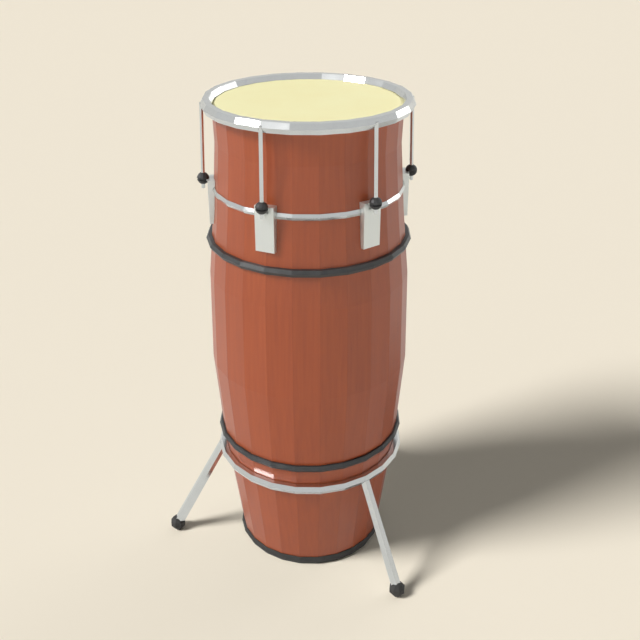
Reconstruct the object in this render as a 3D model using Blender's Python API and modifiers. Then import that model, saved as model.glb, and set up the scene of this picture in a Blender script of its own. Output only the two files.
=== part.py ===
"""Conga drum standing in a three-legged chrome stand.

All lengths are in metres, +Z is up and the floor is at z = 0.  Every piece is
made round the Z axis, with lug 1 and leg 1 at the front, on the -Y side, and
the others counter-clockwise as seen from above.  An empty then moves the
whole object in Y, so that the middle of its footprint is at the origin.
"""
import math

import bmesh
import bpy
from mathutils import Matrix, Vector

# Fits
GAP = 0.0003                     # air left between two touching pieces
SIDES = 24                       # flats round the shell and round every ring
FLAT = math.cos(math.pi / SIDES)  # distance to a flat for a corner distance of 1
LUGS = 6
LEGS = 3
FIRST_TURN = -math.pi / 2        # direction of lug 1 and leg 1

# Shell: corner radius at each height where its side changes slope
NECK_HEIGHT = 0.7503
NECK_RADIUS = 0.1323
REBATE = 0.0053                  # plain top of the neck, inside the flesh hoop
FLARE_DROP = 0.0063              # flare of the neck just below the rim
FLARE_OUT = 0.0041
THROAT_DROP = 0.0503             # where the neck is narrowest under the flare
THROAT_OUT = 0.0026
SHOULDER_HEIGHT = 0.6000
SHOULDER_RADIUS = 0.1420
UPPER_BELLY_HEIGHT = 0.4970
UPPER_BELLY_RADIUS = 0.1523
BELLY_HEIGHT = 0.3510
BELLY_RADIUS = 0.1554
WAIST_HEIGHT = 0.2050
WAIST_RADIUS = 0.1440
BASE_HEIGHT = 0.0045
BASE_RADIUS = 0.1183
WALL = 0.0100
BEARING_RISE = 0.0032            # bevelled edge that the head is stretched over
BEARING_INSET = 0.0015

# Drum head and the wire hoop that its edge is lapped over
SKIN = 0.0012
HOOP_WIRE = 0.0026
HOOP_DROP = 0.0052               # hoop centre below the bearing edge
LAP_BEND = 0.7                   # bends of the skin over the hoop, in wire radii
LAP_END = 0.6
FLAT_MARGIN = 0.0005             # flat skin past the shell's bearing edge

# Tuning rim: six-sided bead with a hollow underside
BEAD = 0.00872
BEAD_OFFSET = 0.0120             # bead centre outside the neck
BEAD_LIFT = 0.0008               # bead centre above the bearing edge

# Tension rods and ball nuts
ROD = 0.0030
ROD_SIDES = 6
ROD_RISE = 0.0020                # top of rod above the bead centre
ROD_INSET = 0.0027               # top of rod inside the rim's outer edge
NUT_DROP = 0.1040                # ball nut below the neck
NUT_STAND_OFF = 0.0059           # nut axis in front of the lug plate
BALL = 0.0090
BALL_SIDES = 12
BALL_LATITUDES = (26, 49, 72, 108, 131, 154)
NUT_WALL = 0.0015
ROD_PLAY = 0.00035
ROD_TAIL = 0.0057                # rod showing below the ball

# Lug plates, the band behind them and their fastenings
PLATE_OUT = 0.0042               # front of the plate outside the shell
PLATE_WIDTH = 0.0288
PLATE_HEIGHT = 0.0661
PLATE_DROP = 0.0003              # top of the plate below the ball centre
EAR = 0.0016
EAR_ROOT = 0.0030                # overlap of the ear and the plate it is joined to
EAR_REACH = 0.0030               # end of the ear's fork past the nut axis
EAR_PLAY = 0.0004
SLOT_PLAY = 0.0004
TINE = 0.0018
POCKET_PLAY = 0.0005
BAND_BEAD = 0.0053
BAND_INSET = 0.0018              # bead centre inside the outside of the shell
BAND_DROP = 0.0142               # bead centre below the top of the plates
SCREW = 0.0025
SCREW_HEAD = 0.0045
SCREW_HEAD_LENGTH = 0.0028
SCREW_CORNER = 0.0010            # bevel at the tip and round the head
SCREW_DROPS = (0.0250, 0.0510)
PLATE_SKIN = 0.0022              # metal left in front of the blind screw holes
BLOCK_WIDTH = 0.0200
BLOCK_HEIGHT = 0.0480
BLOCK_DROP = 0.0140
BLOCK_THICK = 0.0040

# Black hoops round the shell: six-sided bead, half hidden by the shell
UPPER_HOOP_DROP = 0.0267         # bead centre below the lug plates
LOWER_HOOP_HEIGHT = 0.2190
HOOP_BEAD = 0.0060
UPPER_HOOP_OUT = 0.0023          # bead centre outside the shell
LOWER_HOOP_OUT = 0.0010

# Rubber ring under the shell
BASE_LIP = 0.0145
BASE_LIP_WIDTH = 0.0006
BASE_BULGE = 0.0050
BASE_BULGE_HEIGHT = 0.0069
BASE_SOLE = 0.0015
BASE_INSIDE = 0.0090

# Stand
RING_HEIGHT = 0.1790
RING_BEAD = 0.0078
RING_OUT = 0.0059                # bead centre outside the shell
LEG = 0.0078                     # corner radius at the ring
LEG_FOOT = 0.0090                # corner radius at the foot
LEG_SIDES = 6
FOOT_SPREAD = 0.2364
FOOT = 0.0136
FOOT_FLAT = 0.0012               # cut off the bottom of the ball foot
FOOT_ROWS = 5
FOOT_SIDES = 8

# Cutting tools and meshes
OVERCUT = 0.0100                 # a cutter's reach past the piece it cuts
DRILL_SIDES = 16
WELD = 0.000005                  # points closer than this become one

SHELL_SIDE = (
    (NECK_HEIGHT, NECK_RADIUS),
    (NECK_HEIGHT - REBATE, NECK_RADIUS),
    (NECK_HEIGHT - FLARE_DROP, NECK_RADIUS + FLARE_OUT),
    (NECK_HEIGHT - THROAT_DROP, NECK_RADIUS + THROAT_OUT),
    (SHOULDER_HEIGHT, SHOULDER_RADIUS),
    (UPPER_BELLY_HEIGHT, UPPER_BELLY_RADIUS),
    (BELLY_HEIGHT, BELLY_RADIUS),
    (WAIST_HEIGHT, WAIST_RADIUS),
    (BASE_HEIGHT, BASE_RADIUS),
)


def shell_radius(height):
    """Corner radius of the outside of the shell at a height."""
    points = SHELL_SIDE
    for (upper, wide), (lower, narrow) in zip(points, points[1:]):
        if height >= lower or (lower, narrow) == points[-1]:
            share = (height - lower) / (upper - lower)
            return narrow + share * (wide - narrow)
    return points[-1][1]


def widest(low, high):
    """Largest corner radius of the shell between two heights."""
    corners = [radius for height, radius in SHELL_SIDE if low < height < high]
    return max(corners + [shell_radius(low), shell_radius(high)])


# Values that follow from the ones above
NUT_HEIGHT = NECK_HEIGHT - NUT_DROP
PLATE_TOP = NUT_HEIGHT - PLATE_DROP
PLATE_FRONT = widest(PLATE_TOP - PLATE_HEIGHT, PLATE_TOP) + PLATE_OUT
UPPER_HOOP_HEIGHT = PLATE_TOP - PLATE_HEIGHT - UPPER_HOOP_DROP
BEARING_HEIGHT = NECK_HEIGHT + BEARING_RISE
BEAD_RADIUS = NECK_RADIUS + BEAD_OFFSET
BEAD_HEIGHT = BEARING_HEIGHT + BEAD_LIFT
NUT_RADIUS = PLATE_FRONT + NUT_STAND_OFF
ROD_TOP = BEAD_HEIGHT + ROD_RISE
ROD_TOP_RADIUS = BEAD_RADIUS + BEAD - ROD_INSET
ROD_LEAN = math.atan2(NUT_RADIUS - ROD_TOP_RADIUS, ROD_TOP - NUT_HEIGHT)
CORE = ROD + ROD_PLAY + NUT_WALL
SLOT = CORE + SLOT_PLAY
EAR_MIDDLE = PLATE_TOP - EAR / 2
BAND_MIDDLE = PLATE_TOP - BAND_DROP
STAND_RADIUS = shell_radius(RING_HEIGHT) + RING_OUT
FOOT_HEIGHT = FOOT - FOOT_FLAT


# Scene set-up
for old in list(bpy.data.objects):
    bpy.data.objects.remove(old, do_unlink=True)
PARTS = bpy.data.collections.new("conga")
CUTTERS = bpy.data.collections.new("cutters")
for group in (PARTS, CUTTERS):
    bpy.context.scene.collection.children.link(group)
CUTTERS.hide_render = True


def material(name, colour, roughness, metallic):
    """A Principled BSDF with one colour (linear RGB)."""
    made = bpy.data.materials.new(name)
    made.use_nodes = True
    shader = made.node_tree.nodes["Principled BSDF"]
    shader.inputs["Base Color"].default_value = (*colour, 1.0)
    shader.inputs["Roughness"].default_value = roughness
    shader.inputs["Metallic"].default_value = metallic
    made.diffuse_color = (*colour, 1.0)
    return made


WOOD = material("lacquered_wood", (0.350, 0.088, 0.045), 0.38, 0.0)
SKIN_WHITE = material("rawhide", (0.93, 0.84, 0.50), 0.60, 0.0)
CHROME = material("chrome", (0.62, 0.63, 0.63), 0.12, 1.0)
STEEL = material("zinc_steel", (0.45, 0.45, 0.46), 0.35, 1.0)
SATIN = material("satin_steel", (0.66, 0.67, 0.64), 0.40, 0.9)
BLACK_PAINT = material("black_painted_steel", (0.030, 0.031, 0.032), 0.42, 0.0)
BLACK_PLASTIC = material("black_plastic", (0.022, 0.022, 0.023), 0.45, 0.0)
RUBBER = material("black_rubber", (0.026, 0.025, 0.024), 0.65, 0.0)


def link(name, mesh, group=PARTS):
    """New object in a collection; a cutter shows as wires only."""
    made = bpy.data.objects.new(name, mesh)
    group.objects.link(made)
    if group is CUTTERS:
        made.hide_render = True
        made.display_type = "WIRE"
    return made


def settle(piece):
    """Replace a piece's mesh by the result of its modifiers."""
    bpy.context.view_layer.update()
    graph = bpy.context.evaluated_depsgraph_get()
    mesh = bpy.data.meshes.new_from_object(piece.evaluated_get(graph))
    work = bmesh.new()
    work.from_mesh(mesh)
    bmesh.ops.remove_doubles(work, verts=work.verts, dist=WELD)
    bmesh.ops.recalc_face_normals(work, faces=work.faces)
    work.to_mesh(mesh)
    work.free()
    piece.modifiers.clear()
    piece.data = mesh
    for face in mesh.polygons:
        face.use_smooth = False
    return piece


def turned(name, profile, sides=SIDES, group=PARTS, closed=True):
    """Turn a profile of (radius, height) points about Z.

    The profile runs down the outer side first.  A closed profile makes a
    ring; an open one starts and ends on the axis and makes a solid.
    """
    count = len(profile)
    edges = [(i, i + 1) for i in range(count - 1)]
    if closed:
        edges.append((count - 1, 0))
    mesh = bpy.data.meshes.new(name)
    mesh.from_pydata([(r, 0.0, z) for r, z in profile], edges, [])
    made = link(name, mesh, group)
    screw = made.modifiers.new("turn", "SCREW")
    screw.axis = "Z"
    screw.angle = 2 * math.pi
    screw.steps = sides
    screw.render_steps = sides
    screw.use_merge_vertices = True
    screw.merge_threshold = WELD
    return settle(made)


def box(name, low, high, group=PARTS):
    """A box between two opposite corners."""
    work = bmesh.new()
    bmesh.ops.create_cube(work, size=1.0)
    low, high = Vector(low), Vector(high)
    bmesh.ops.scale(work, vec=high - low, verts=work.verts)
    bmesh.ops.translate(work, vec=(low + high) / 2, verts=work.verts)
    mesh = bpy.data.meshes.new(name)
    work.to_mesh(mesh)
    work.free()
    return link(name, mesh, group)


def rod(name, start, end, corner_radius, sides, group=PARTS, end_radius=None):
    """A straight many-sided bar; a six-sided one has a flat towards the outside."""
    start, end = Vector(start), Vector(end)
    along = end - start
    work = bmesh.new()
    bmesh.ops.create_cone(
        work, cap_ends=True, segments=sides,
        radius1=corner_radius, radius2=end_radius or corner_radius, depth=along.length)
    turn = Vector((0, 0, 1)).rotation_difference(along).to_matrix().to_4x4()
    place = Matrix.Translation((start + end) / 2) @ turn
    bmesh.ops.transform(work, matrix=place, verts=work.verts)
    mesh = bpy.data.meshes.new(name)
    work.to_mesh(mesh)
    work.free()
    return link(name, mesh, group)


def trim(piece, tool, how="DIFFERENCE"):
    """Cut, join or keep the shared part of a piece and a tool."""
    change = piece.modifiers.new(how.lower(), "BOOLEAN")
    change.operation = how
    change.solver = "EXACT"
    change.object = tool


def loosened(corner_radius, sides, play):
    """Corner radius of a bar whose flats stand off by the play."""
    flat = math.cos(math.pi / sides)
    return corner_radius + play / flat


def paint(piece, surface):
    piece.data.materials.clear()
    piece.data.materials.append(surface)
    return piece


def spoke(number, count=LUGS):
    """Turn from the +X side to one of several evenly spaced places."""
    return Matrix.Rotation(FIRST_TURN + number * 2 * math.pi / count, 4, "Z")


def around(piece, count, surface):
    """Copies of a piece made on the +X side, evenly spaced from the front."""
    base = piece.name
    place = piece.matrix_world.copy()
    paint(piece, surface)
    for number in range(count):
        copy = link(base, piece.data) if number else piece
        copy.name = f"{base}_{number + 1}"
        copy.matrix_world = spoke(number, count) @ place


def hexagon(radius, height, size):
    """Corners of a six-sided section, outermost corner first, going down."""
    corners = []
    for step in range(6):
        angle = -step * math.pi / 3
        corners.append((radius + size * math.cos(angle), height + size * math.sin(angle)))
    return corners


def make_shell():
    """Barrel of flat staves, open at the bottom, bevelled at the top."""
    top = (NECK_RADIUS - BEARING_INSET, BEARING_HEIGHT)
    outside = [top] + [(r, z) for z, r in SHELL_SIDE]
    inside = [(r - WALL, z) for z, r in reversed(SHELL_SIDE)]
    inside.append((NECK_RADIUS - WALL + BEARING_INSET, BEARING_HEIGHT))
    return turned("shell", outside + inside)


def trim_at_lugs(piece, start, end, corner_radius, sides):
    """Cut the same bar out of a piece at every lug; the bar is given at +X."""
    for number in range(LUGS):
        tool = rod("lug_cut", start, end, corner_radius, sides, CUTTERS)
        tool.matrix_world = spoke(number)
        trim(piece, tool)


def drill_shell(shell):
    """Holes for the two screws behind every lug plate."""
    for drop in SCREW_DROPS:
        height = PLATE_TOP - drop
        inner = shell_radius(height) - 2 * WALL
        outer = shell_radius(height) + WALL
        trim_at_lugs(shell, (inner, 0, height), (outer, 0, height), SCREW + GAP, DRILL_SIDES)
    return settle(shell)


def hoop_centre():
    """Radius and height of the middle of the flesh hoop's wire."""
    height = BEARING_HEIGHT - HOOP_DROP
    low = shell_radius(height - HOOP_WIRE)
    return low + GAP / FLAT + HOOP_WIRE, height


def skin_over_hoop():
    """Points of the skin's underside from the shell to its outer edge."""
    radius, height = hoop_centre()
    out = radius + HOOP_WIRE + GAP
    top = height + HOOP_WIRE + GAP
    return [
        (NECK_RADIUS - BEARING_INSET + GAP, BEARING_HEIGHT + GAP),
        (radius - HOOP_WIRE / 2, top + GAP * 2),
        (radius + HOOP_WIRE * LAP_BEND, top),
        (out, height + HOOP_WIRE * LAP_BEND),
        (out, height - HOOP_WIRE * LAP_END),
    ]


def skin_outside():
    """Points of the skin's upper side from the flat part to its edge."""
    edge, _, over, side, low = skin_over_hoop()
    return [
        (edge[0] + FLAT_MARGIN, edge[1] + SKIN),
        (over[0], over[1] + SKIN),
        (side[0] + SKIN, side[1] + SKIN / 2),
        (low[0] + SKIN, low[1]),
    ]


def make_head():
    """Flat skin whose edge is lapped over the flesh hoop."""
    under = skin_over_hoop()
    over = skin_outside()
    profile = [(0.0, over[0][1])] + over + under[::-1] + [(0.0, under[0][1])]
    paint(turned("drum_head", profile, closed=False), SKIN_WHITE)


def make_flesh_hoop():
    """Eight-sided wire ring that holds the edge of the skin."""
    radius, height = hoop_centre()
    corner = HOOP_WIRE / math.cos(math.pi / 8)
    profile = []
    for step in range(8):
        angle = math.pi / 8 - step * math.pi / 4
        profile.append((radius + corner * math.cos(angle), height + corner * math.sin(angle)))
    paint(turned("flesh_hoop", profile), STEEL)


def make_rim():
    """Six-sided bead, hollow underneath where it sits on the skin's edge."""
    outer, low_outer, _, inner, high_inner, high_outer = hexagon(
        BEAD_RADIUS, BEAD_HEIGHT, BEAD)
    _, over, side, _ = skin_outside()
    clear = GAP / FLAT
    profile = [
        high_outer,
        outer,
        low_outer,
        (side[0] + clear, low_outer[1]),
        (side[0] + clear, side[1] + clear / 2),
        (over[0] + clear / 2, over[1] + clear),
        inner,
        high_inner,
    ]
    rim = turned("tuning_rim", profile)
    low, high = rod_line()
    along = (high - low).normalized()
    trim_at_lugs(rim, high - along * 2 * BEAD, high + along * GAP,
                 loosened(ROD, ROD_SIDES, GAP), ROD_SIDES)
    paint(settle(rim), CHROME)


def rod_line():
    """Lower and upper end of the tension rod on the +X side."""
    top = Vector((ROD_TOP_RADIUS, 0, ROD_TOP))
    nut = Vector((NUT_RADIUS, 0, NUT_HEIGHT))
    along = (top - nut).normalized()
    return nut - along * (BALL + ROD_TAIL), top


def make_rods():
    """Straight rods from the rim to the ball nuts, leaning out a little."""
    low, high = rod_line()
    around(rod("tension_rod", low, high, ROD, ROD_SIDES), LUGS, CHROME)


def ball_points(low, high):
    """Points of the ball's outline between two heights, from the top down."""
    points = []
    for degrees in BALL_LATITUDES:
        height = BALL * math.cos(math.radians(degrees))
        if low < height < high:
            points.append((math.sqrt(BALL ** 2 - height ** 2), height))
    return points


def make_nuts():
    """Ball nuts with a groove round the middle that the lug ear holds."""
    groove_top = EAR_MIDDLE + EAR / 2 + EAR_PLAY - NUT_HEIGHT
    groove_low = EAR_MIDDLE - EAR / 2 - EAR_PLAY - NUT_HEIGHT
    bore = ROD + ROD_PLAY

    def side(height):
        return math.sqrt(BALL ** 2 - height ** 2)

    above = ball_points(groove_top + EAR_PLAY, BALL)
    below = ball_points(-BALL, groove_low - EAR_PLAY)
    groove = [
        (side(groove_top), groove_top),
        (CORE, groove_top),
        (CORE, groove_low),
        (side(groove_low), groove_low),
    ]
    ends = [(bore, below[-1][1]), (bore, above[0][1])]
    nut = turned("ball_nut", above + groove + below + ends, BALL_SIDES)
    lean = Matrix.Rotation(-ROD_LEAN, 4, "Y")
    nut.matrix_world = Matrix.Translation((NUT_RADIUS, 0, NUT_HEIGHT)) @ lean
    around(nut, LUGS, BLACK_PLASTIC)


def shell_envelope(name, play, low, high):
    """Solid with the outside of the shell plus a play, for cutting backs."""
    heights = [high]
    heights += [z for z, _ in SHELL_SIDE if low < z < high]
    heights.append(low)
    profile = [(0.0, high)]
    profile += [(shell_radius(z) + play / FLAT, z) for z in heights]
    profile.append((0.0, low))
    return turned(name, profile, group=CUTTERS, closed=False)


def make_bead(name, surface, centre_out, height, size):
    """Six-sided bead round the shell, cut so that its back follows the shell."""
    bead = turned(name, hexagon(shell_radius(height) + centre_out, height, size))
    trim(bead, shell_envelope(f"{name}_back", GAP, height - 2 * size, height + 2 * size))
    paint(settle(bead), surface)


def make_plates():
    """Flat plates whose top edge carries a forked ear for the ball nut."""
    bottom = PLATE_TOP - PLATE_HEIGHT
    half = PLATE_WIDTH / 2
    plate = box("lug_plate", (shell_radius(bottom) - 2 * WALL, -half, bottom),
                (PLATE_FRONT, half, PLATE_TOP))
    ear_half = SLOT + TINE
    reach = NUT_RADIUS + EAR_REACH
    trim(plate, box("ear", (PLATE_FRONT - EAR_ROOT, -ear_half, PLATE_TOP - EAR),
                    (reach, ear_half, PLATE_TOP), CUTTERS), "UNION")
    trim(plate, rod("slot", (NUT_RADIUS, 0, PLATE_TOP - 2 * EAR),
                    (NUT_RADIUS, 0, PLATE_TOP + EAR), SLOT, SIDES, CUTTERS))
    trim(plate, box("slot_mouth", (NUT_RADIUS, -SLOT, PLATE_TOP - 2 * EAR),
                    (reach + OVERCUT, SLOT, PLATE_TOP + EAR), CUTTERS))
    pocket = loosened(BALL, SIDES, POCKET_PLAY)
    trim(plate, rod("pocket", (NUT_RADIUS, 0, NUT_HEIGHT - BALL - POCKET_PLAY),
                    (NUT_RADIUS, 0, PLATE_TOP - EAR), pocket, SIDES, CUTTERS))
    trim(plate, shell_envelope("plate_back", GAP, bottom - OVERCUT, PLATE_TOP + OVERCUT))
    band_radius = shell_radius(BAND_MIDDLE) - BAND_INSET
    groove = hexagon(band_radius, BAND_MIDDLE, loosened(BAND_BEAD, 6, GAP / FLAT))
    trim(plate, turned("band_groove", groove, group=CUTTERS))
    for drop in SCREW_DROPS:
        height = PLATE_TOP - drop
        trim(plate, rod("screw_hole", (NECK_RADIUS / 2, 0, height),
                        (PLATE_FRONT - PLATE_SKIN, 0, height), SCREW + GAP, DRILL_SIDES, CUTTERS))
    around(settle(plate), LUGS, SATIN)


def block_face():
    """Inner flat of the backing blocks, measured from the drum axis."""
    top = PLATE_TOP - BLOCK_DROP
    return shell_radius(top) - WALL - BLOCK_THICK


def make_blocks():
    """Backing blocks inside the shell, shaped to its inner side."""
    top = PLATE_TOP - BLOCK_DROP
    bottom = top - BLOCK_HEIGHT
    half = BLOCK_WIDTH / 2
    block = box("backing_block", (block_face(), -half, bottom),
                (shell_radius(bottom), half, top))
    front = shell_envelope("block_front", -WALL * FLAT - GAP, bottom - OVERCUT, top + OVERCUT)
    trim(block, front, "INTERSECT")
    for drop in SCREW_DROPS:
        height = PLATE_TOP - drop
        trim(block, rod("block_hole", (NECK_RADIUS / 2, 0, height),
                        (PLATE_FRONT, 0, height), SCREW + GAP, DRILL_SIDES, CUTTERS))
    around(settle(block), LUGS, STEEL)


def make_screws():
    """Screws from inside the shell through block and shell into the plate."""
    head_face = block_face() - GAP
    tip = PLATE_FRONT - PLATE_SKIN - GAP
    length = tip - head_face
    profile = [
        (0.0, length),
        (SCREW - SCREW_CORNER, length),
        (SCREW, length - SCREW_CORNER),
        (SCREW, 0.0),
        (SCREW_HEAD, 0.0),
        (SCREW_HEAD, SCREW_CORNER - SCREW_HEAD_LENGTH),
        (SCREW_HEAD - SCREW_CORNER, -SCREW_HEAD_LENGTH),
        (0.0, -SCREW_HEAD_LENGTH),
    ]
    for label, drop in zip(("upper", "lower"), SCREW_DROPS):
        screw = turned(f"{label}_lug_screw", profile, DRILL_SIDES, closed=False)
        lay = Matrix.Rotation(math.pi / 2, 4, "Y")
        screw.matrix_world = Matrix.Translation((head_face, 0, PLATE_TOP - drop)) @ lay
        around(screw, LUGS, STEEL)


def make_base_ring():
    """Rubber ring that the shell stands on, with a lip round the outside."""
    lip = shell_radius(BASE_LIP) + GAP / FLAT
    ledge = BASE_HEIGHT - GAP
    foot = BASE_RADIUS + BASE_SOLE
    profile = [
        (lip + BASE_LIP_WIDTH, BASE_LIP),
        (BASE_RADIUS + BASE_BULGE, BASE_BULGE_HEIGHT),
        (foot, 0.0),
        (BASE_RADIUS - BASE_INSIDE, 0.0),
        (BASE_RADIUS - BASE_INSIDE, ledge),
        (BASE_RADIUS + GAP / FLAT, ledge),
        (lip, BASE_LIP),
    ]
    paint(turned("base_ring", profile), RUBBER)


def leg_line(past_foot=0.0):
    """Upper and lower end of the middle line of the leg on the +X side."""
    top = Vector((STAND_RADIUS, 0, RING_HEIGHT))
    foot = Vector((FOOT_SPREAD, 0, FOOT_HEIGHT))
    along = (foot - top).normalized()
    return top, foot + along * past_foot


def make_legs():
    """Straight legs from the stand ring to the ball feet."""
    top, foot = leg_line()
    leg = rod("leg", top, foot, LEG, LEG_SIDES, end_radius=LEG_FOOT)
    envelope = hexagon(STAND_RADIUS, RING_HEIGHT, loosened(RING_BEAD, 6, GAP / FLAT))
    trim(leg, turned("ring_envelope", envelope, group=CUTTERS))
    around(settle(leg), LEGS, CHROME)


def make_feet():
    """Ball feet with a flat underneath and a socket for the leg."""
    work = bmesh.new()
    bmesh.ops.create_uvsphere(work, u_segments=FOOT_SIDES, v_segments=FOOT_ROWS, radius=FOOT)
    flat_outward = Matrix.Rotation(math.pi / FOOT_SIDES, 4, "Z")
    place = Matrix.Translation((FOOT_SPREAD, 0, FOOT_HEIGHT)) @ flat_outward
    bmesh.ops.transform(work, matrix=place, verts=work.verts)
    mesh = bpy.data.meshes.new("foot")
    work.to_mesh(mesh)
    work.free()
    foot = link("foot", mesh)
    wide = 2 * FOOT
    trim(foot, box("floor", (FOOT_SPREAD - wide, -wide, -wide),
                   (FOOT_SPREAD + wide, wide, 0.0), CUTTERS))
    top, end = leg_line(GAP)
    trim(foot, rod("socket", top, end, loosened(LEG, LEG_SIDES, GAP), LEG_SIDES,
                   CUTTERS, loosened(LEG_FOOT, LEG_SIDES, GAP)))
    around(settle(foot), LEGS, RUBBER)


def centre_footprint():
    """Move everything in Y, so that the footprint's middle is the origin."""
    bpy.context.view_layer.update()
    depths = [
        (piece.matrix_world @ corner.co).y
        for piece in PARTS.objects
        for corner in piece.data.vertices
    ]
    holder = bpy.data.objects.new("footprint_middle", None)
    bpy.context.scene.collection.objects.link(holder)
    holder.location.y = -(min(depths) + max(depths)) / 2
    for piece in list(PARTS.objects):
        piece.parent = holder


paint(drill_shell(make_shell()), WOOD)
make_head()
make_flesh_hoop()
make_rim()
make_rods()
make_nuts()
make_bead("lug_band", CHROME, -BAND_INSET, BAND_MIDDLE, BAND_BEAD)
make_plates()
make_blocks()
make_screws()
make_bead("upper_hoop", BLACK_PAINT, UPPER_HOOP_OUT, UPPER_HOOP_HEIGHT, HOOP_BEAD)
make_bead("lower_hoop", BLACK_PAINT, LOWER_HOOP_OUT, LOWER_HOOP_HEIGHT, HOOP_BEAD)
make_base_ring()
make_bead("stand_ring", CHROME, RING_OUT, RING_HEIGHT, RING_BEAD)
make_legs()
make_feet()
centre_footprint()
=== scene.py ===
# %% [markdown]
# # A conga in its stand
# This script dresses a finished model of a conga, a tall barrel drum played
# with the hands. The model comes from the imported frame: every piece is there
# in its right place and size. What is left to do is the camera, the light
# and the surfaces, so each step here is about how something looks.

# %% Load the frame
import math

import bpy
from mathutils import Matrix, Vector


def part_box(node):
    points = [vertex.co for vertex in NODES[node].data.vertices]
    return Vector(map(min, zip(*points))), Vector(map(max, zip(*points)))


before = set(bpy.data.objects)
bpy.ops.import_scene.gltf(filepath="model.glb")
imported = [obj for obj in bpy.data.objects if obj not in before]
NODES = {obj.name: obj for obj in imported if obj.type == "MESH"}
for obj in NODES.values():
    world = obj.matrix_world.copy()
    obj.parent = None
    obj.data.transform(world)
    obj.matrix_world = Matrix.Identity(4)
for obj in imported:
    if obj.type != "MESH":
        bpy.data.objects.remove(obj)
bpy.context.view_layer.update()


def middle(node):
    """Middle of a piece's box."""
    low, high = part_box(node)
    return (Vector(low) + Vector(high)) / 2


AXIS = middle("tuning_rim")
AXIS.z = 0.0
print("drum axis at", [round(v, 4) for v in AXIS])

# %% [markdown]
# ## The camera
# The picture that this scene answers to was taken from a little above, with
# the drum near the middle. The camera stands in front of the gap between two
# lugs. It is given as a distance from the drum's axis, a height over the
# floor, and two angles: how far it looks down, and how far it looks aside.
# A direction round the drum is counted in degrees from the camera's side of
# it, growing to the right as the camera sees it. The axis is measured from
# the box of the tuning rim, because the stand's legs make the whole object
# lopsided and its middle is not the middle of the drum.

# %% Place the camera
CAMERA_TURN = math.radians(-36.0)
CAMERA_DISTANCE = 1.25916
CAMERA_HEIGHT = 1.06557
LOOK_DOWN = math.radians(27.7521)
LOOK_ASIDE = math.radians(0.7726)
LENS_MM = 50.0
SENSOR_MM = 36.0

around_drum = Matrix.Rotation(CAMERA_TURN, 3, "Z")


def seen_from_above(degrees, elevation):
    """Direction from the drum, counted from the camera's side to the right."""
    side = math.radians(degrees)
    up = math.radians(elevation)
    flat = Vector((math.sin(side), -math.cos(side), 0.0))
    return around_drum @ (flat * math.cos(up) + Vector((0.0, 0.0, math.sin(up))))


forward = around_drum @ Vector((
    math.sin(LOOK_ASIDE) * math.cos(LOOK_DOWN),
    math.cos(LOOK_ASIDE) * math.cos(LOOK_DOWN),
    -math.sin(LOOK_DOWN)))
right = around_drum @ Vector((math.cos(LOOK_ASIDE), -math.sin(LOOK_ASIDE), 0.0))
up = right.cross(forward)

camera_data = bpy.data.cameras.new("camera")
camera_data.lens = LENS_MM
camera_data.sensor_width = SENSOR_MM
camera = bpy.data.objects.new("camera", camera_data)
bpy.context.scene.collection.objects.link(camera)
stand_point = AXIS + around_drum @ Vector((0.0, -CAMERA_DISTANCE, CAMERA_HEIGHT))
facing = Matrix((right, up, -forward)).transposed().to_4x4()
camera.matrix_world = Matrix.Translation(stand_point) @ facing
bpy.context.scene.camera = camera
print("camera at", [round(v, 3) for v in camera.matrix_world.translation])

# %% [markdown]
# ## Light and floor
# The drum stands in a bright studio. A key lamp high on the left makes the
# main shadow, which runs to the right and back. A weaker lamp behind fills
# it and throws a pale shadow of its own to the front. Chrome doesn't mirror
# that one. Two faint lamps, one low on the right and one in front, are there
# only for the chrome: each puts a pale patch on the few facets that mirror
# it, as the key lamp does on others. All of them are sun lamps with a wide
# angle, which light the whole floor evenly and still give soft edges.

# %% Set the view and the lamps
bpy.context.scene.view_settings.view_transform = "Standard"

LAMPS = {
    "key_lamp": {"strength": 3.30, "width": 18.0, "side": -71.0, "elevation": 44.0},
    "back_lamp": {"strength": 0.36, "width": 70.0, "side": 160.0, "elevation": 44.0},
    "right_glint": {"strength": 0.36, "width": 28.0, "side": 129.0, "elevation": 15.0},
    "front_glint": {"strength": 0.02, "width": 16.0, "side": -39.0, "elevation": 43.0},
}
UNSEEN_IN_MIRRORS = ("back_lamp",)


def add_lamp(name, strength, width, side, elevation):
    """Sun lamp that shines on the drum from a direction round it."""
    data = bpy.data.lights.new(name, "SUN")
    data.energy = strength
    data.angle = math.radians(width)
    lamp = bpy.data.objects.new(name, data)
    bpy.context.scene.collection.objects.link(lamp)
    toward = seen_from_above(side, elevation)
    lamp.rotation_euler = toward.to_track_quat("Z", "Y").to_euler()
    lamp.location = AXIS + toward * 3.0
    lamp.visible_glossy = name not in UNSEEN_IN_MIRRORS
    print(name, "from", side, "degrees round,", elevation, "up")


for lamp_name, settings in LAMPS.items():
    add_lamp(lamp_name, **settings)

# %% [markdown]
# The world has two looks, and a light path node chooses between them. The
# light that it throws on the drum comes from a low bright band all round,
# as if from pale walls: it reaches the upright sides but hardly the floor,
# which keeps the shadow deep. What the camera, and mirrors such as chrome,
# see of it is a plain backdrop, a little warmer near the floor.

# %% Light the world
WALL_GLOW = 8.6
WALL_TOP = 3.0
OVERHEAD_GLOW = 0.065
BACKDROP_LOW = (0.72, 0.71, 0.66)
BACKDROP_HIGH = (0.655, 0.665, 0.66)
BACKDROP_BLEND = 20.0

world = bpy.data.worlds.new("studio")
bpy.context.scene.world = world
world.use_nodes = True
tree = world.node_tree
tree.nodes.clear()


def world_node(kind, **values):
    made = tree.nodes.new(kind)
    for name, value in values.items():
        setattr(made, name, value)
    return made


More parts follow.
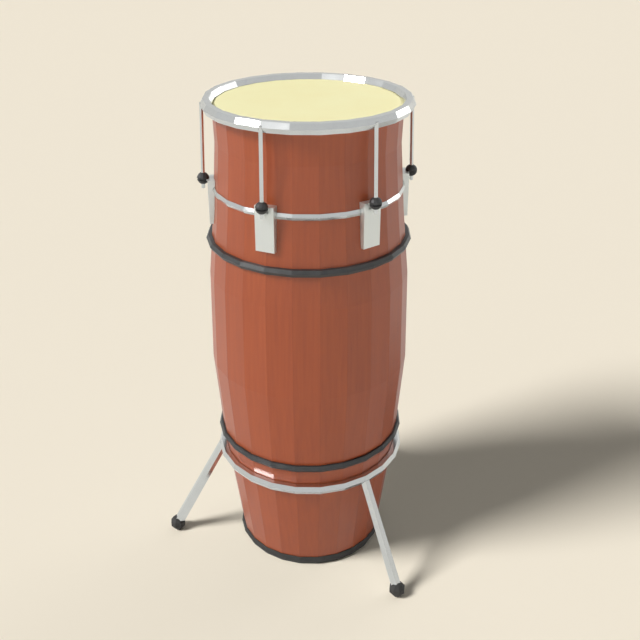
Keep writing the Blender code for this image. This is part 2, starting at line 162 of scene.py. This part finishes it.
def between(height, low_degrees, high_degrees, low, high):
    """Ramp of a colour with the height of a direction over the floor."""
    share = world_node("ShaderNodeMapRange", interpolation_type="SMOOTHSTEP")
    share.inputs["From Min"].default_value = math.sin(math.radians(low_degrees))
    share.inputs["From Max"].default_value = math.sin(math.radians(high_degrees))
    tree.links.new(height, share.inputs["Value"])
    blend = world_node("ShaderNodeMix", data_type="RGBA")
    tree.links.new(share.outputs["Result"], blend.inputs["Factor"])
    blend.inputs[6].default_value = (*low, 1.0)
    blend.inputs[7].default_value = (*high, 1.0)
    return blend.outputs[2]


direction = world_node("ShaderNodeTexCoord")
split = world_node("ShaderNodeSeparateXYZ")
tree.links.new(direction.outputs["Generated"], split.inputs[0])
walls = between(split.outputs["Z"], WALL_TOP - 1.0, WALL_TOP + 1.0,
                (WALL_GLOW,) * 3, (OVERHEAD_GLOW,) * 3)
room = between(split.outputs["Z"], 0.0, BACKDROP_BLEND, BACKDROP_LOW, BACKDROP_HIGH)

path = world_node("ShaderNodeLightPath")
seen = world_node("ShaderNodeMath", operation="MAXIMUM")
seen_too = world_node("ShaderNodeMath", operation="MAXIMUM")
glow = world_node("ShaderNodeBackground")
backdrop = world_node("ShaderNodeBackground")
choose = world_node("ShaderNodeMixShader")
surface = world_node("ShaderNodeOutputWorld")
tree.links.new(walls, glow.inputs["Color"])
tree.links.new(room, backdrop.inputs["Color"])
tree.links.new(path.outputs["Is Camera Ray"], seen.inputs[0])
tree.links.new(path.outputs["Is Glossy Ray"], seen.inputs[1])
tree.links.new(seen.outputs[0], seen_too.inputs[0])
tree.links.new(path.outputs["Is Transmission Ray"], seen_too.inputs[1])
tree.links.new(seen_too.outputs[0], choose.inputs["Fac"])
tree.links.new(glow.outputs[0], choose.inputs[1])
tree.links.new(backdrop.outputs[0], choose.inputs[2])
tree.links.new(choose.outputs[0], surface.inputs["Surface"])
print("walls glow", WALL_GLOW, "up to", WALL_TOP, "degrees")

# %% [markdown]
# The floor is a plain cream sheet. Seen in a mirror it is nearer white, by
# the same light path node, because the metal in the picture shows a pale grey
# floor, not a cream one.

# %% Lay the floor
FLOOR_SIZE = 60.0
FLOOR_CREAM = (0.925, 0.845, 0.702)
FLOOR_IN_MIRRORS = (0.86, 0.855, 0.805)
FLOOR_ROUGHNESS = 0.9

bpy.ops.object.select_all(action="DESELECT")
bpy.ops.mesh.primitive_plane_add(size=FLOOR_SIZE, location=(0.0, 0.0, 0.0))
floor = bpy.context.object
floor.name = "floor"
floor_paint = bpy.data.materials.new("studio_floor")
floor_paint.use_nodes = True
floor_tree = floor_paint.node_tree
shader = floor_tree.nodes["Principled BSDF"]
floor_path = floor_tree.nodes.new("ShaderNodeLightPath")
floor_tone = floor_tree.nodes.new("ShaderNodeMix")
floor_tone.data_type = "RGBA"
floor_tone.inputs[6].default_value = (*FLOOR_CREAM, 1.0)
floor_tone.inputs[7].default_value = (*FLOOR_IN_MIRRORS, 1.0)
floor_tree.links.new(floor_path.outputs["Is Glossy Ray"], floor_tone.inputs["Factor"])
floor_tree.links.new(floor_tone.outputs[2], shader.inputs["Base Color"])
shader.inputs["Roughness"].default_value = FLOOR_ROUGHNESS
shader.inputs["Specular IOR Level"].default_value = 0.0
floor.data.materials.append(floor_paint)
print("floor", FLOOR_SIZE, "m wide")

# %% [markdown]
# ## Shared effects
# Several finishes need the same two things: a soft cloudy mask, for tone
# that drifts over a surface, and a mask of fine long streaks, for grain or
# brushing. Each is built once as a node group and used with its own values.

# %% Build the shared node groups
def add_node(nodes, kind, **values):
    """New shader node; names with values set its own properties."""
    made = nodes.new(kind)
    for name, value in values.items():
        setattr(made, name, value)
    return made


def set_inputs(made, **values):
    """Set sockets by name, with underscores for spaces."""
    for name, value in values.items():
        made.inputs[name.replace("_", " ")].default_value = value
    return made


def new_group(name, inputs, outputs):
    """Empty shader group with float or vector sockets."""
    group = bpy.data.node_groups.new(name, "ShaderNodeTree")
    for label, kind, value in inputs:
        socket = group.interface.new_socket(label, in_out="INPUT", socket_type=kind)
        if value is not None:
            socket.default_value = value
    for label, kind in outputs:
        group.interface.new_socket(label, in_out="OUTPUT", socket_type=kind)
    return group, group.nodes.new("NodeGroupInput"), group.nodes.new("NodeGroupOutput")


def build_clouds():
    """Soft patches: Low and High are the noise values that give 0 and 1."""
    group, start, end = new_group(
        "clouds",
        [("Vector", "NodeSocketVector", None), ("Scale", "NodeSocketFloat", 20.0),
         ("Low", "NodeSocketFloat", 0.35), ("High", "NodeSocketFloat", 0.65)],
        [("Mask", "NodeSocketFloat")])
    noise = set_inputs(add_node(group.nodes, "ShaderNodeTexNoise"), Detail=4.0, Roughness=0.6)
    spread = add_node(group.nodes, "ShaderNodeMapRange")
    group.links.new(start.outputs["Vector"], noise.inputs["Vector"])
    group.links.new(start.outputs["Scale"], noise.inputs["Scale"])
    group.links.new(noise.outputs["Fac"], spread.inputs["Value"])
    group.links.new(start.outputs["Low"], spread.inputs["From Min"])
    group.links.new(start.outputs["High"], spread.inputs["From Max"])
    group.links.new(spread.outputs["Result"], end.inputs["Mask"])
    return group


def build_streaks():
    """Long fine streaks: Stretch squeezes the pattern along each axis."""
    group, start, end = new_group(
        "streaks",
        [("Vector", "NodeSocketVector", None), ("Stretch", "NodeSocketVector", (1.0, 1.0, 0.05)),
         ("Scale", "NodeSocketFloat", 400.0), ("Detail", "NodeSocketFloat", 3.0)],
        [("Mask", "NodeSocketFloat")])
    squeeze = add_node(group.nodes, "ShaderNodeVectorMath", operation="MULTIPLY")
    noise = set_inputs(add_node(group.nodes, "ShaderNodeTexNoise"), Roughness=0.55)
    group.links.new(start.outputs["Vector"], squeeze.inputs[0])
    group.links.new(start.outputs["Stretch"], squeeze.inputs[1])
    group.links.new(squeeze.outputs[0], noise.inputs["Vector"])
    group.links.new(start.outputs["Scale"], noise.inputs["Scale"])
    group.links.new(start.outputs["Detail"], noise.inputs["Detail"])
    group.links.new(noise.outputs["Fac"], end.inputs["Mask"])
    return group


CLOUDS = build_clouds()
STREAKS = build_streaks()
print("groups:", CLOUDS.name, STREAKS.name)

# %% [markdown]
# Every finish starts the same way: a material with object coordinates at
# hand, and short calls for mixing two colours and for turning a mask into
# a fine relief. Object coordinates are in metres here, so a scale of 1000
# gives features about a millimetre across.

# %% Helpers for finishes
class Finish:
    """A material in the making, with the nodes that most finishes share."""

    def __init__(self, name):
        self.material = bpy.data.materials.new(name)
        self.material.use_nodes = True
        self.tree = self.material.node_tree
        self.nodes = self.tree.nodes
        self.shader = self.nodes["Principled BSDF"]
        self.place = self.nodes.new("ShaderNodeTexCoord").outputs["Object"]

    def from_axis(self):
        """Object coordinates counted from the drum's axis."""
        made = add_node(self.nodes, "ShaderNodeMapping", vector_type="POINT")
        set_inputs(made, Location=-AXIS)
        self.wire(self.place, made.inputs["Vector"])
        return made.outputs["Vector"]

    def wire(self, start, end):
        self.tree.links.new(start, end)

    def group(self, shared, vector=None, **values):
        """One shared group in this material, and its mask."""
        made = self.nodes.new("ShaderNodeGroup")
        made.node_tree = shared
        set_inputs(made, **values)
        self.wire(vector or self.place, made.inputs["Vector"])
        return made.outputs["Mask"]

    def math(self, operation, first, second=None, clamp=False):
        """Value worked out from sockets or numbers."""
        made = add_node(self.nodes, "ShaderNodeMath", operation=operation, use_clamp=clamp)
        for slot, value in enumerate((first, second)):
            if value is None:
                continue
            if isinstance(value, (int, float)):
                made.inputs[slot].default_value = value
            else:
                self.wire(value, made.inputs[slot])
        return made.outputs[0]

    def mix(self, mask, low, high):
        """Colour that goes from low to high as the mask goes from 0 to 1."""
        made = add_node(self.nodes, "ShaderNodeMix", data_type="RGBA")
        self.wire(mask, made.inputs["Factor"])
        for slot, value in (("A", low), ("B", high)):
            socket = [s for s in made.inputs if s.name == slot and s.type == "RGBA"][0]
            if isinstance(value, tuple):
                socket.default_value = (*value, 1.0)
            else:
                self.wire(value, socket)
        return [s for s in made.outputs if s.type == "RGBA"][0]

    def ramp(self, mask, low, high):
        """Number between low and high, by the mask."""
        made = add_node(self.nodes, "ShaderNodeMapRange")
        set_inputs(made, To_Min=low, To_Max=high)
        self.wire(mask, made.inputs["Value"])
        return made.outputs["Result"]

    def relief(self, height, depth, strength=1.0):
        """Bump whose full height is depth metres."""
        made = set_inputs(self.nodes.new("ShaderNodeBump"), Distance=depth, Strength=strength)
        self.wire(height, made.inputs["Height"])
        self.wire(made.outputs["Normal"], self.shader.inputs["Normal"])

    def set(self, **values):
        set_inputs(self.shader, **values)


def dress(material, *names):
    """Give CAD pieces a finish; a name stands for all its numbered pieces."""
    count = 0
    for node, piece in NODES.items():
        if node in names or node.rstrip("0123456789").rstrip("_") in names:
            piece.data.materials.clear()
            piece.data.materials.append(material)
            count += 1
    print(material.name, "on", count, "pieces")


# %% [markdown]
# ## The shell
# The shell is a barrel of flat staves glued edge to edge, stained red brown
# and lacquered. The grain runs up each stave, and each board has its own
# tone, so the pattern is counted stave by stave from the angle round the
# drum: the whole part of the angle names the stave, and what is left over
# finds the glue line at its edge. A red drum would throw a red glow on the
# floor round its foot. The picture shows a plain grey shadow there, so what
# a diffuse ray meets on the shell is nearly black: the light path node again.

# %% Finish the shell
STAVES = 24
STAIN_LIGHT = (0.322, 0.064, 0.0140)
STAIN_DARK = (0.252, 0.045, 0.0102)
PORE = (0.140, 0.026, 0.007)
SEAM_SHARE = 0.010
THROWN_LIGHT = (0.030, 0.027, 0.022)


def make_shell_finish():
    finish = Finish("lacquered_staves")
    split = finish.nodes.new("ShaderNodeSeparateXYZ")
    finish.wire(finish.from_axis(), split.inputs[0])
    angle = finish.math("ARCTAN2", split.outputs["Y"], split.outputs["X"])
    turns = finish.math("MULTIPLY", angle, STAVES / (2 * math.pi))
    number = finish.math("FLOOR", turns)
    within = finish.math("FRACT", turns)
    luck = add_node(finish.nodes, "ShaderNodeTexWhiteNoise", noise_dimensions="1D")
    finish.wire(number, luck.inputs["W"])
    shift = add_node(finish.nodes, "ShaderNodeVectorMath", operation="ADD")
    finish.wire(finish.place, shift.inputs[0])
    finish.wire(luck.outputs["Color"], shift.inputs[1])
    grain = finish.group(STREAKS, shift.outputs[0], Stretch=(1.0, 1.0, 0.035), Scale=170.0, Detail=5.0)
    pores = finish.group(STREAKS, shift.outputs[0], Stretch=(1.0, 1.0, 0.02), Scale=1500.0, Detail=2.0)
    board = finish.math("MULTIPLY", luck.outputs["Value"], 0.35)
    tone = finish.math("ADD", finish.ramp(grain, -0.55, 1.15), board, clamp=True)
    stain = finish.mix(tone, STAIN_DARK, STAIN_LIGHT)
    pore = finish.math("GREATER_THAN", pores, 0.66)
    pore_share = finish.math("MULTIPLY", pore, 0.22)
    stained = finish.mix(pore_share, stain, PORE)
    edge = finish.math("ABSOLUTE", finish.math("SUBTRACT", within, 0.5))
    seam = finish.math("GREATER_THAN", edge, 0.5 - SEAM_SHARE)
    seam_share = finish.math("MULTIPLY", seam, 0.25)
    boards = finish.mix(seam_share, stained, PORE)
    path = finish.nodes.new("ShaderNodeLightPath")
    colour = finish.mix(path.outputs["Is Diffuse Ray"], boards, THROWN_LIGHT)
    finish.wire(colour, finish.shader.inputs["Base Color"])
    finish.wire(finish.ramp(grain, 0.34, 0.44), finish.shader.inputs["Roughness"])
    height = finish.math("SUBTRACT", finish.math("MULTIPLY", pores, 0.3), seam)
    finish.relief(height, 0.00012, 0.35)
    finish.set(Specular_IOR_Level=0.5, Coat_Weight=0.25, Coat_Roughness=0.3)
    return finish.material


dress(make_shell_finish(), "shell")

# %% [markdown]
# ## The drum head
# The head is a whole hide, scraped thin and dried over its hoop. It is pale
# cream and matte, with faint clouds where the skin was thicker and a fine
# fibre that shows only close by.

# %% Finish the drum head
HIDE_PALE = (0.985, 0.935, 0.545)
HIDE_WARM = (0.970, 0.900, 0.500)


def make_hide_finish():
    finish = Finish("dried_hide")
    clouds = finish.group(CLOUDS, Scale=14.0, Low=0.3, High=0.7)
    fibre = finish.group(STREAKS, Stretch=(1.0, 0.35, 1.0), Scale=900.0, Detail=3.0)
    finish.wire(finish.mix(clouds, HIDE_WARM, HIDE_PALE), finish.shader.inputs["Base Color"])
    finish.wire(finish.ramp(fibre, 0.5, 0.75), finish.shader.inputs["Roughness"])
    finish.relief(fibre, 0.00015, 0.3)
    return finish.material


dress(make_hide_finish(), "drum_head")

# %% [markdown]
# ## Chrome
# The rim, the rods, the band, the stand's ring and its legs are chromed
# steel. Chrome is nearly all mirror, so its look comes from what is around
# it. Handling leaves a faint haze, which is a small change of roughness,
# and hair-fine scratches, which are a very low relief.

# %% Finish the chrome
CHROME_BRIGHT = (0.72, 0.73, 0.73)
CHROME_HAZE = (0.68, 0.69, 0.69)


def make_chrome_finish():
    finish = Finish("worn_chrome")
    haze = finish.group(CLOUDS, Scale=45.0, Low=0.35, High=0.75)
    scratches = finish.group(STREAKS, Stretch=(0.15, 1.0, 1.0), Scale=2500.0, Detail=2.0)
    finish.wire(finish.mix(haze, CHROME_BRIGHT, CHROME_HAZE), finish.shader.inputs["Base Color"])
    finish.wire(finish.ramp(haze, 0.13, 0.24), finish.shader.inputs["Roughness"])
    finish.relief(scratches, 0.00002, 0.25)
    finish.set(Metallic=1.0)
    return finish.material


dress(make_chrome_finish(), "tuning_rim", "tension_rod", "lug_band", "stand_ring", "leg")

# %% [markdown]
# ## Steel plates and inside fastenings
# The lug plates are satin steel, brushed along their length. The forked ear
# that holds each ball nut is blackened, so that no bright metal shows in the
# nut's groove: it is all of the plate that lies further from the drum's axis
# than the plate's own face. The hoop, the blocks and the screws inside are
# zinc plated: duller, with a cloudy bloom.

# %% Finish the steel
PLATE_PALE = (0.76, 0.775, 0.75)
PLATE_GREY = (0.69, 0.705, 0.68)
EAR_BLACK = (0.024, 0.024, 0.025)
EAR_BEHIND_NUT = 0.0045
ZINC_PALE = (0.52, 0.52, 0.53)
ZINC_GREY = (0.40, 0.40, 0.41)


def make_plate_finish():
    finish = Finish("brushed_steel_plate")
    brush = finish.group(STREAKS, Stretch=(1.0, 1.0, 0.03), Scale=1800.0, Detail=2.0)
    flat = add_node(finish.nodes, "ShaderNodeVectorMath", operation="MULTIPLY")
    flat.inputs[1].default_value = (1.0, 1.0, 0.0)
    finish.wire(finish.from_axis(), flat.inputs[0])
    outward = add_node(finish.nodes, "ShaderNodeVectorMath", operation="LENGTH")
    finish.wire(flat.outputs[0], outward.inputs[0])
    ear_start = (middle("ball_nut_1") - AXIS).to_2d().length - EAR_BEHIND_NUT
    ear = finish.math("GREATER_THAN", outward.outputs["Value"], ear_start)
    steel = finish.mix(brush, PLATE_GREY, PLATE_PALE)
    finish.wire(finish.mix(ear, steel, EAR_BLACK), finish.shader.inputs["Base Color"])
    finish.wire(finish.ramp(ear, 0.85, 0.0), finish.shader.inputs["Metallic"])
    finish.wire(finish.ramp(brush, 0.3, 0.5), finish.shader.inputs["Roughness"])
    finish.relief(brush, 0.00003, 0.3)
    print("ears start", round(ear_start * 1000, 1), "mm from the axis")
    return finish.material


def make_zinc_finish():
    finish = Finish("zinc_plate")
    bloom = finish.group(CLOUDS, Scale=260.0, Low=0.3, High=0.7)
    finish.wire(finish.mix(bloom, ZINC_GREY, ZINC_PALE), finish.shader.inputs["Base Color"])
    finish.wire(finish.ramp(bloom, 0.3, 0.5), finish.shader.inputs["Roughness"])
    finish.set(Metallic=1.0)
    return finish.material


dress(make_plate_finish(), "lug_plate")
dress(make_zinc_finish(), "flesh_hoop", "backing_block", "upper_lug_screw", "lower_lug_screw")

# %% [markdown]
# ## Black pieces
# Three blacks are told apart by their sheen. The hoops are painted steel
# with a satin skin, the ball nuts are moulded plastic with a fine grain,
# and the feet and base ring are rubber, dull and slightly dusty.

# %% Finish the black pieces
PAINT_BLACK = (0.027, 0.028, 0.029)
PAINT_WORN = (0.045, 0.045, 0.045)
PLASTIC_BLACK = (0.022, 0.022, 0.023)
PLASTIC_GREY = (0.034, 0.034, 0.035)
RUBBER_BLACK = (0.018, 0.017, 0.016)
RUBBER_DUSTY = (0.040, 0.038, 0.035)


def make_black_finish(name, dark, pale, scale, roughness, depth):
    """Black surface with a drifting tone and a grain of the given depth."""
    finish = Finish(name)
    drift = finish.group(CLOUDS, Scale=scale, Low=0.4, High=0.8)
    grain = finish.group(CLOUDS, Scale=scale * 30, Low=0.3, High=0.7)
    finish.wire(finish.mix(drift, dark, pale), finish.shader.inputs["Base Color"])
    finish.wire(finish.ramp(drift, *roughness), finish.shader.inputs["Roughness"])
    finish.relief(grain, depth, 0.4)
    return finish.material


dress(make_black_finish("satin_black_paint", PAINT_BLACK, PAINT_WORN, 60.0, (0.35, 0.5), 0.00003),
      "upper_hoop", "lower_hoop")
dress(make_black_finish("moulded_black_plastic", PLASTIC_BLACK, PLASTIC_GREY, 110.0, (0.4, 0.55), 0.00005),
      "ball_nut")
dress(make_black_finish("black_rubber", RUBBER_BLACK, RUBBER_DUSTY, 70.0, (0.6, 0.85), 0.0001),
      "base_ring", "foot")
